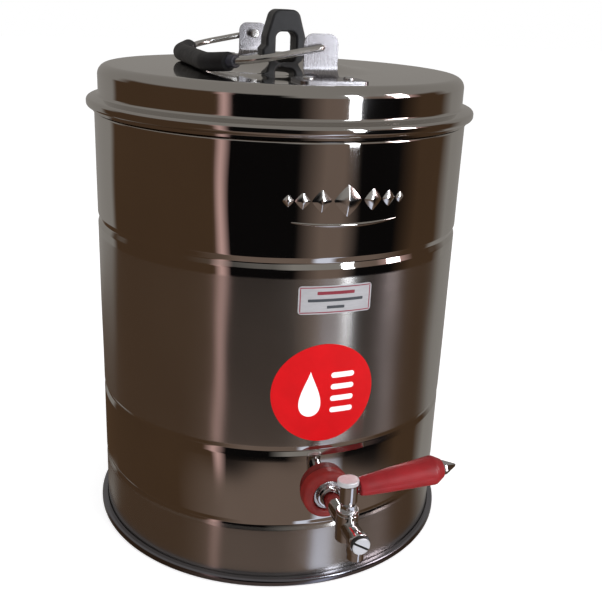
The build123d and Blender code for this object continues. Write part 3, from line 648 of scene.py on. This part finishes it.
hub_line = mm_line([(0, 123), (7.6, 123), (7.8, 141), (0, 141)], [0.9, 0.2])
hub_mesh = lathe_mesh(hub_line, LEVER_ROUND, closed=False, place=plug_place, warp=drawn_out(0.4))
finish_mesh("hub", hub_mesh, CHROME, "lever", ["tap_plug"])
cap_line = mm_line([(0, 140.4), (8.1, 140.4), (8.1, 144.9), (0, 145.0)], [0.7, 1.3])
cap_place = Matrix.Translation((-1.2 * MM, PLUG_Y, 0))
cap_mesh = lathe_mesh(cap_line, LEVER_ROUND, closed=False, place=cap_place, warp=drawn_out(1.5))
finish_mesh("hub_cap", cap_mesh, CAP, "lever", ["tap_plug"])

lever_root = Vector((12.5 * MM, PLUG_Y, 136 * MM))
lever_along = Vector((76.0, 0, 7.4)).normalized()


def aimed(start, along):
    """The placing that takes Z onto a direction and the origin onto a point."""
    return Matrix.Translation(start) @ Vector((0, 0, 1)).rotation_difference(along).to_matrix().to_4x4()


lever_place = aimed(lever_root, lever_along)


def dipped(point):
    """The slight lumpiness of a dipped vinyl sleeve."""
    a = math.atan2(point.y, point.x)
    s = point.z / MM
    lump = 0.05 * math.sin(2 * a + 0.11 * s) + 0.05 * math.sin(3 * a - 0.2 * s) + 0.04 * math.sin(0.33 * s)
    radius = math.hypot(point.x, point.y)
    if radius < 5 * MM:
        return point
    share = 1 + (lump - 0.12) * MM / radius
    return Vector((point.x * share, point.y * share, point.z))


sleeve_line = mm_line(
    [
        (3.5, 60), (3.5, -3.4), (8.0, -3.4), (8.9, 1), (11.1, 31.7), (13.3, 66.5), (8.2, 75), (3.5, 75),
        (3.5, 60),
    ],
    [0.2, 0.8, 14, 300, 6, 2.2, 0.2],
    longest=2.5,
)
sleeve_mesh = lathe_mesh(sleeve_line[:-1], LEVER_ROUND, place=lever_place, warp=dipped)
finish_mesh("lever_sleeve", sleeve_mesh, GRIP_RED, "lever", ["lever_grip"])
tip_line = mm_line([(0, 75), (6.6, 75), (6.6, 78), (1.4, 88), (0, 89)], [0.2, 0.3, 0.3], longest=20)
finish_mesh("lever_facet_tip", lathe_mesh(tip_line, 8, closed=False, place=lever_place), CHROME, "lever",
            ["lever_tip"], sharp=12)

# ---- Brackets, knob and bail --------------------------------------------------------------------

for side in ("front", "rear"):
    weigh_normals(finish_mesh(side + "_ear", softened_mesh(side + "_bracket", 0.4 * MM), BRACKET, "lid",
                              [side + "_bracket"], 50))

# The folded bail lies towards -X and leans down onto the lid
BAIL_TILT = math.radians(11.2)
PIVOT = Vector((0, 0, 0.491))
bail_out = Vector((-math.cos(BAIL_TILT), 0, -math.sin(BAIL_TILT)))
# Its centre line in its own plane, in millimetres: how far out from the pivots, and how far along Y
BAIL_END = 104
BAIL_ARM = 117
BAIL_BEND = Vector((62, 114))
BAIL_CORNER = Vector((90, 62))
BEND_R = 34
CORNER_R = 40
WIRE_R = 3
# How far along the sloping run the collars and the grip start
FERRULE_START = 20
GRIP_START = 28


def bail_point(out, across):
    """A point of the bail's plane, in metres."""
    return PIVOT + bail_out * out * MM + Vector((0, across * MM, 0))


def mirrored(half):
    """Half an outline in the bail's plane, with its mirror image added across the middle."""
    return half + [Vector((c.x, -c.y)) for c in reversed(half)]


bail_corners = mirrored([Vector((0, BAIL_END)), Vector((0, BAIL_ARM)), BAIL_BEND, BAIL_CORNER])
bail_radii = [4, BEND_R, CORNER_R, CORNER_R, BEND_R, 4]
bail_path = divided(rounded([bail_point(*c) for c in bail_corners], [r * MM for r in bail_radii], 5), 5 * MM)
finish_mesh("bail_bar", tube_mesh(bail_path, [WIRE_R * MM] * len(bail_path), 32), WIRE, "bail",
            ["bail_wire"])
head_line = mm_line([(0, 0), (4.4, 0), (4.4, 2), (0, 2)], [0.4, 0.8])
for label, sign in (("front", -1), ("rear", 1)):
    head_place = Matrix.Translation(bail_point(0, sign * BAIL_END))
    head_place = head_place @ Matrix.Rotation(sign * math.pi / 2, 4, "X")
    finish_mesh("bail_" + label + "_head", lathe_mesh(head_line, 36, closed=False, place=head_place), WIRE,
                "bail", ["bail_wire"])

slope = (BAIL_CORNER - BAIL_BEND).normalized()
grip_start = BAIL_BEND + slope * GRIP_START
ferrule_start = BAIL_BEND + slope * FERRULE_START
grip_corners = [bail_point(*c) for c in mirrored([grip_start, BAIL_CORNER])]
grip_path = divided(rounded(grip_corners, [CORNER_R * MM, CORNER_R * MM], 5), 2 * MM)
lengths = [0.0]
for a, b in zip(grip_path, grip_path[1:]):
    lengths.append(lengths[-1] + (b - a).length)
GRIP_R = 8.15
GRIP_END_LENGTH = 2.5 * MM
GRIP_END_DROP = 2.2
grip_radii = []
for at in lengths:
    from_end = min(at, lengths[-1] - at, GRIP_END_LENGTH) / GRIP_END_LENGTH
    grip_radii.append((GRIP_R - GRIP_END_DROP * (1 - math.sqrt(1 - (1 - from_end) ** 2))) * MM)
finish_mesh("bail_hand_grip", tube_mesh(grip_path, grip_radii, 40), GRIP_BLACK, "bail",
            ["bail_grip"])
for label, sign in (("front", -1), ("rear", 1)):
    outer = bail_point(ferrule_start.x, sign * ferrule_start.y)
    inner = bail_point(grip_start.x, sign * grip_start.y)
    length = (inner - outer).length / MM
    ferrule_line = mm_line([(3.02, 0), (5.6, 0), (5.6, length), (3.02, length), (3.02, 1)], [1.2, 0.3, 0.2])
    finish_mesh("grip_" + label + "_ferrule", lathe_mesh(ferrule_line, 40, place=aimed(outer, inner - outer)),
                GREY, "bail", ["grip_ferrules"])

# ---- Sticker, label and embossed ornament -------------------------------------------------------

FILM_IN = WALL_R + 0.02 * MM
FILM_OUT = FILM_IN + 0.34 * MM
PRINT_IN = FILM_OUT - 0.05 * MM
PRINT_OUT = FILM_OUT + 0.04 * MM
STICKER_R = 47.3 * MM
STICKER_X = -6.3 * MM
STICKER_Z = 199.7 * MM
DISC_STEPS = 120
disc = []
for i in range(DISC_STEPS):
    a = 2 * math.pi * i / DISC_STEPS
    disc.append((STICKER_R * math.cos(a), STICKER_R * math.sin(a)))
finish_mesh("sticker_disc", decal_mesh([disc], STICKER_X, STICKER_Z, FILM_IN, FILM_OUT), STICKER, "container",
            ["round_sticker"], 30)
DROP_STEPS = 64
drop = []
for i in range(DROP_STEPS):
    a = 2 * math.pi * i / DROP_STEPS
    drop.append((-13 * MM + 14.5 * MM * math.sin(a) * math.sin(a / 2) ** 1.6, 22 * MM * math.cos(a)))
bars = [plate_outline(11 * MM, 2.6 * MM, 2.5 * MM, (17 * MM, level * MM)) for level in (-17, -5.7, 5.7, 17)]
finish_mesh("sticker_print", decal_mesh([drop, *bars], STICKER_X, STICKER_Z, PRINT_IN, PRINT_OUT),
            PRINT_WHITE, "container", [], 30)

LABEL_Z = 288 * MM
LABEL_HALF_W = 33.3 * MM
LABEL_HALF_H = 12.75 * MM
plate = plate_outline(LABEL_HALF_W, LABEL_HALF_H, 3 * MM)
finish_mesh("label_plate", decal_mesh([plate], 0, LABEL_Z, FILM_IN, FILM_OUT), FOIL, "container",
            ["info_label"], 30)
# The border's line, and the red bar under its top
LINE_HALF = 0.45 * MM
red_print = []
for sign in (-1, 1):
    across = (0, sign * (LABEL_HALF_H - 1.5 * MM))
    upright = (sign * (LABEL_HALF_W - 1.7 * MM), 0)
    red_print.append(plate_outline(LABEL_HALF_W - 1.2 * MM, LINE_HALF, 0.2 * MM, across))
    red_print.append(plate_outline(LINE_HALF, LABEL_HALF_H - 2.3 * MM, 0.2 * MM, upright))
red_print.append(plate_outline(17 * MM, 1.5 * MM, 0.6 * MM, (0, 6.2 * MM)))
finish_mesh("label_red_print", decal_mesh(red_print, 0, LABEL_Z, PRINT_IN, PRINT_OUT), PRINT_RED, "container",
            [], 30)
grey_print = []
for half_w, level in ((25, -0.3), (8, -6.6)):
    grey_print.append(plate_outline(half_w * MM, 1.3 * MM, 0.5 * MM, (0, level * MM)))
finish_mesh("label_grey_print", decal_mesh(grey_print, 0, LABEL_Z, PRINT_IN, PRINT_OUT), PRINT_GREY,
            "container", [], 30)


def on_wall(along, height, sink):
    """A point on the wall from a distance along it, measured from the tap's side towards +X."""
    a = along / WALL_R
    return Vector(((WALL_R - sink) * math.sin(a), -(WALL_R - sink) * math.cos(a), height))


def ridge(name, points, thick):
    """An embossed ridge that tapers at both of its ends."""
    path, radii = [], []
    for i, (along, height) in enumerate(points):
        t = i / (len(points) - 1)
        radius = thick * (0.25 + 0.75 * math.sin(math.pi * t) ** 0.7)
        path.append(on_wall(along, height, 0.45 * radius))
        radii.append(radius)
    finish_mesh(name, tube_mesh(path, radii, 16), WALL, "container")


def stud(name, along, height, half_w, half_h, rise):
    """A pillowed lozenge pressed out of the wall."""
    bm = bmesh.new()
    rings = []
    count, around = 8, 48
    # 1 gives straight sides and 2 an ellipse
    power = 1.15
    edge_sink = 0.25 * MM
    for k in range(1, count + 1):
        t = k / count
        sink = edge_sink - rise * (1 - t ** 1.5)
        ring = []
        for i in range(around):
            a = 2 * math.pi * i / around
            reach = t / (abs(math.cos(a)) ** power + abs(math.sin(a)) ** power) ** (1 / power)
            right = along + reach * half_w * math.cos(a)
            up = height + reach * half_h * math.sin(a)
            ring.append(bm.verts.new(on_wall(right, up, sink)))
        rings.append(ring)
    top = bm.verts.new(on_wall(along, height, edge_sink - rise))
    foot = bm.verts.new(on_wall(along, height, 0.6 * MM))
    for i in range(around):
        j = (i + 1) % around
        bm.faces.new((top, rings[0][i], rings[0][j]))
        bm.faces.new((foot, rings[-1][j], rings[-1][i]))
        for low, high in zip(rings, rings[1:]):
            bm.faces.new((low[i], high[i], high[j], low[j]))
    bmesh.ops.recalc_face_normals(bm, faces=bm.faces)
    mesh = bpy.data.meshes.new("stud")
    bm.to_mesh(mesh)
    bm.free()
    finish_mesh(name, mesh, STUD, "container", sharp=60)


ORNAMENT_X = 6 * MM
ORNAMENT_Z = 374 * MM
stud("ornament_middle", ORNAMENT_X, ORNAMENT_Z, 13 * MM, 14 * MM, 2.6 * MM)
for step, (shift, half_w, half_h) in enumerate(((23, 9, 10), (39, 7, 7.5), (51, 5, 5.5))):
    for side, sign in (("left", -1), ("right", 1)):
        at = ORNAMENT_X + sign * shift * MM
        stud("ornament_%s_%d" % (side, step + 1), at, ORNAMENT_Z, half_w * MM, half_h * MM, 2.0 * MM)
SWASH_HALF = 48
SWASH_STEPS = 30
swash = []
for i in range(-SWASH_STEPS, SWASH_STEPS + 1):
    t = i / SWASH_STEPS
    swash.append((ORNAMENT_X + SWASH_HALF * t * MM, ORNAMENT_Z - (21 - 3 * t ** 2) * MM))
ridge("ornament_swash", swash, 1.9 * MM)

# ---- Surroundings, light and camera -------------------------------------------------------------

scene = bpy.context.scene
scene.view_settings.view_transform = "Standard"
scene.view_settings.look = "None"

# Tones of the studio's panels
PANEL_GAIN = 1.6
BROWN = linear(60, 45, 32, gain=PANEL_GAIN)
BLACK = linear(9, 8, 8, gain=PANEL_GAIN)
TAUPE = linear(95, 82, 74, gain=PANEL_GAIN)
ROSE = linear(170, 140, 135, gain=PANEL_GAIN)
PALE = linear(190, 195, 210, gain=PANEL_GAIN)
GREY_WALL = linear(115, 112, 108, gain=PANEL_GAIN)
# Broad upright panels round the container, each from one azimuth to another: 0 is -Y and 90 is +X.
# They stand level with it, below it and above it. An edge is where one row turns into the next, as the
# sine of the elevation.
LEVEL = (
    (-180, -55, BROWN), (-51, -50, ROSE), (-45, -6, BLACK), (10, 22, TAUPE), (33, 58, BLACK), (76, 98, BROWN),
    (112, 180, GREY_WALL),
)
BELOW = (
    (-180, -160, GREY_WALL), (-146, -80, BROWN), (-45, 12, TAUPE), (17, 27, PALE), (32, 60, TAUPE),
    (85, 122, BROWN), (140, 180, GREY_WALL),
)
ABOVE = (
    (-180, -135, GREY_WALL), (-120, -58, BROWN), (-52, -51, ROSE), (-44, -18, BLACK), (-6, 26, GREY_WALL),
    (36, 46, TAUPE), (55, 65, ROSE), (76, 90, BROWN), (105, 180, GREY_WALL),
)
BELOW_EDGE = (-0.52, -0.49)
ABOVE_EDGE = (0.0, 0.10)
CEILING_EDGE = (0.24, 0.42)
# Level and a little lower, the wall at the left and behind is grey
GREY_AZIMUTHS = (-134, -142)
GREY_EDGE = (-0.36, -0.28)


def build_world():
    """White for the camera, soft light for matt surfaces, and a room of broad upright panels for gloss."""
    world = bpy.data.worlds.new("studio")
    scene.world = world
    world.use_nodes = True
    tree = world.node_tree
    background = tree.nodes["Background"]

    def new(kind):
        return tree.nodes.new(kind)

    def math_node(operation, a, b=None):
        node = new("ShaderNodeMath")
        node.operation = operation
        for socket, value in ((0, a), (1, b)):
            if isinstance(value, bpy.types.NodeSocket):
                tree.links.new(value, node.inputs[socket])
            elif value is not None:
                node.inputs[socket].default_value = value
        return node.outputs[0]

    def mixed(share, a, b):
        node = new("ShaderNodeMix")
        node.data_type = "RGBA"
        tree.links.new(share, node.inputs["Factor"])
        colours = [s for s in node.inputs if s.type == "RGBA"]
        for socket, value in zip(colours, (a, b)):
            if isinstance(value, bpy.types.NodeSocket):
                tree.links.new(value, socket)
            else:
                socket.default_value = value
        return [s for s in node.outputs if s.type == "RGBA"][0]

    direction = new("ShaderNodeTexCoord").outputs["Generated"]
    split = new("ShaderNodeSeparateXYZ")
    tree.links.new(direction, split.inputs[0])
    turn = math_node("ARCTAN2", split.outputs["X"], math_node("MULTIPLY", split.outputs["Y"], -1.0))
    share = math_node("ADD", math_node("DIVIDE", turn, 2 * math.pi), 0.5)

    def panels(upright):
        stops = [(edge, tone) for first, last, tone in upright for edge in (first, last)]
        ramp = new("ShaderNodeValToRGB")
        elements = ramp.color_ramp.elements
        while len(elements) < len(stops):
            elements.new(0.5)
        for element, (azimuth, tone) in zip(elements, stops):
            element.position = (azimuth + 180) / 360
        for element, (azimuth, tone) in zip(elements, stops):
            element.color = tone
        tree.links.new(share, ramp.inputs["Fac"])
        return ramp.outputs["Color"]

    def step(value, start, end):
        node = new("ShaderNodeMapRange")
        node.interpolation_type = "SMOOTHSTEP"
        tree.links.new(value, node.inputs["Value"])
        node.inputs["From Min"].default_value = start
        node.inputs["From Max"].default_value = end
        return node.outputs["Result"]

    rise = split.outputs["Z"]
    room = mixed(step(rise, *BELOW_EDGE), panels(BELOW), panels(LEVEL))
    beside = step(share, *[(azimuth + 180) / 360 for azimuth in GREY_AZIMUTHS])
    room = mixed(math_node("MULTIPLY", beside, step(rise, *GREY_EDGE)), room, GREY_WALL)
    room = mixed(step(rise, *ABOVE_EDGE), room, panels(ABOVE))
    room = mixed(step(rise, *CEILING_EDGE), room, GREY_WALL)
    path = new("ShaderNodeLightPath")
    seen = mixed(path.outputs["Is Glossy Ray"], (0.62, 0.62, 0.63, 1), room)
    seen = mixed(path.outputs["Is Camera Ray"], seen, (1.0, 1.0, 1.0, 1))
    tree.links.new(seen, background.inputs["Color"])


build_world()


def area_light(name, azimuth, elevation, distance, width, height, power, colour=(1, 1, 1)):
    """A soft box that faces the middle of the container."""
    data = bpy.data.lights.new(name, "AREA")
    data.shape = "RECTANGLE"
    data.size = width
    data.size_y = height
    data.energy = power
    data.color = colour
    lamp = bpy.data.objects.new(name, data)
    scene.collection.objects.link(lamp)
    a, e = math.radians(azimuth), math.radians(elevation)
    out = Vector((math.sin(a) * math.cos(e), -math.cos(a) * math.cos(e), math.sin(e)))
    target = Vector((0, 0, 0.25))
    lamp.location = target + out * distance
    lamp.rotation_euler = out.to_track_quat("Z", "Y").to_euler()
    return lamp


area_light("window", 26, 15, 2.4, 0.28, 1.6, 15, (0.90, 0.94, 1.0))
area_light("doorway", 57, 20, 2.4, 0.46, 1.1, 13, (1.0, 0.88, 0.90))
fill = area_light("fill", -50, 40, 3.0, 2.4, 2.4, 24)
fill.visible_glossy = False

floor_mesh = bpy.data.meshes.new("floor")
FLOOR_HALF = 9.0
floor_corners = [(FLOOR_HALF * x, FLOOR_HALF * y, 0) for x, y in ((-1, -1), (1, -1), (1, 1), (-1, 1))]
floor_mesh.from_pydata(floor_corners, [], [(0, 1, 2, 3)])
floor = bpy.data.objects.new("floor", floor_mesh)
scene.collection.objects.link(floor)
floor.location.z = -0.0002
floor.visible_glossy = False
paper = Look("pale_floor", (0.86, 0.86, 0.86, 1), 0.0, 0.9, Emission_Strength=0.5)
paper.set("Emission Color", (1, 1, 1, 1))
paper.set("Base Color", paper.blend(paper.noise(3), (0.85, 0.85, 0.85, 1), (0.88, 0.88, 0.88, 1)))
floor_mesh.materials.append(paper.material)

# The photograph's viewpoint: to the left of the tap, looking down, with a slight roll
VIEW_AZIMUTH = math.radians(-17.0)
VIEW_DISTANCE = 0.8704
VIEW_HEIGHT = 0.5327
VIEW_PITCH = 0.3477
VIEW_YAW = 0.0328
VIEW_ROLL = 0.0439
camera_data = bpy.data.cameras.new("camera")
camera_data.sensor_width = 36.0
camera_data.lens = 50.58
camera_data.clip_start = 0.01
camera = bpy.data.objects.new("camera", camera_data)
scene.collection.objects.link(camera)
level = Vector((math.sin(VIEW_YAW), math.cos(VIEW_YAW), 0))
forward = level * math.cos(VIEW_PITCH) + Vector((0, 0, -math.sin(VIEW_PITCH)))
right = Vector((level.y, -level.x, 0))
up = right.cross(forward)
c, s = math.cos(VIEW_ROLL), math.sin(VIEW_ROLL)
right, up = c * right + s * up, c * up - s * right
basis = Matrix((right, up, -forward)).transposed().to_4x4()
basis.translation = Vector((0, -VIEW_DISTANCE, VIEW_HEIGHT))
camera.matrix_world = Matrix.Rotation(VIEW_AZIMUTH, 4, "Z") @ basis
scene.camera = camera
